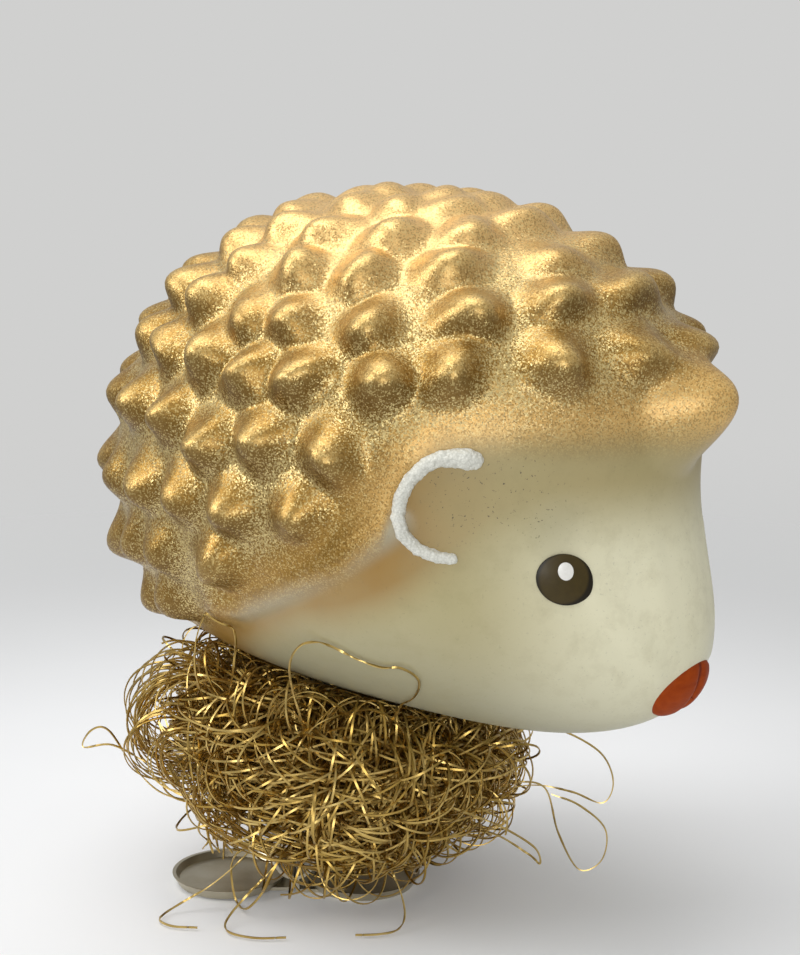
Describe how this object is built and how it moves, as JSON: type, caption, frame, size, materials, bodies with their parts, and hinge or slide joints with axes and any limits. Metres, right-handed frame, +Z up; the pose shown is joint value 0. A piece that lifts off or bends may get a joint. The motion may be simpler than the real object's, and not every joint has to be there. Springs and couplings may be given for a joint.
{
  "type": "clip-on hedgehog ornament",
  "caption": "Blown glass hedgehog with a spined back and painted face, on a sprung clip with a nest of crinkled wire round its neck.",
  "frame": {"origin": "point on the ground under the axis of the glass neck, on the flat underside of the fixed leaf's foot", "axes": "+Z up along the neck, +X towards the hedgehog's nose, +Y towards its left side"},
  "size_m": [0.097, 0.073, 0.1046],
  "materials": {
    "gold_lacquer": "gold and cream lacquer on blown glass",
    "eye_paint": "gloss enamel",
    "highlight_paint": "gloss enamel",
    "nose_paint": "gloss enamel",
    "glitter": "white glue with fine glitter",
    "tinplate": "stamped tinplate",
    "spring_steel": "drawn wire",
    "plaster": "cast plaster",
    "gold_wire": "flattened crinkled wire"
  },
  "bodies": {
    "root": {"glass_body": "gold_lacquer", "eye_enamel_right": "eye_paint", "eye_enamel_left": "eye_paint", "eye_highlight_right": "highlight_paint", "eye_highlight_left": "highlight_paint", "nose_enamel": "nose_paint", "ear_glitter_right": "glitter", "ear_glitter_left": "glitter", "neck_cup": "tinplate", "neck_setting": "plaster", "cup_rivet": "tinplate", "jaw_fixed": "tinplate", "hinge_pin": "spring_steel", "clip_spring": "spring_steel", "nest_core": "gold_wire", "wire_curls": "gold_wire", "binding_wire": "gold_wire"},
    "moving_jaw": {"jaw_moving": "tinplate"}
  },
  "joints": [
    {"name": "jaw_open", "type": "hinge", "parent": "root", "child": "moving_jaw", "pos_m": [-0.0041, -0.00653, 0.0109], "axis": [-0.5736, 0.8192, 0], "range_deg": [0, 25], "stiffness_Nm_per_rad": 0.005, "springref_deg": -5.73, "deforming": ["clip_spring"]}
  ]
}
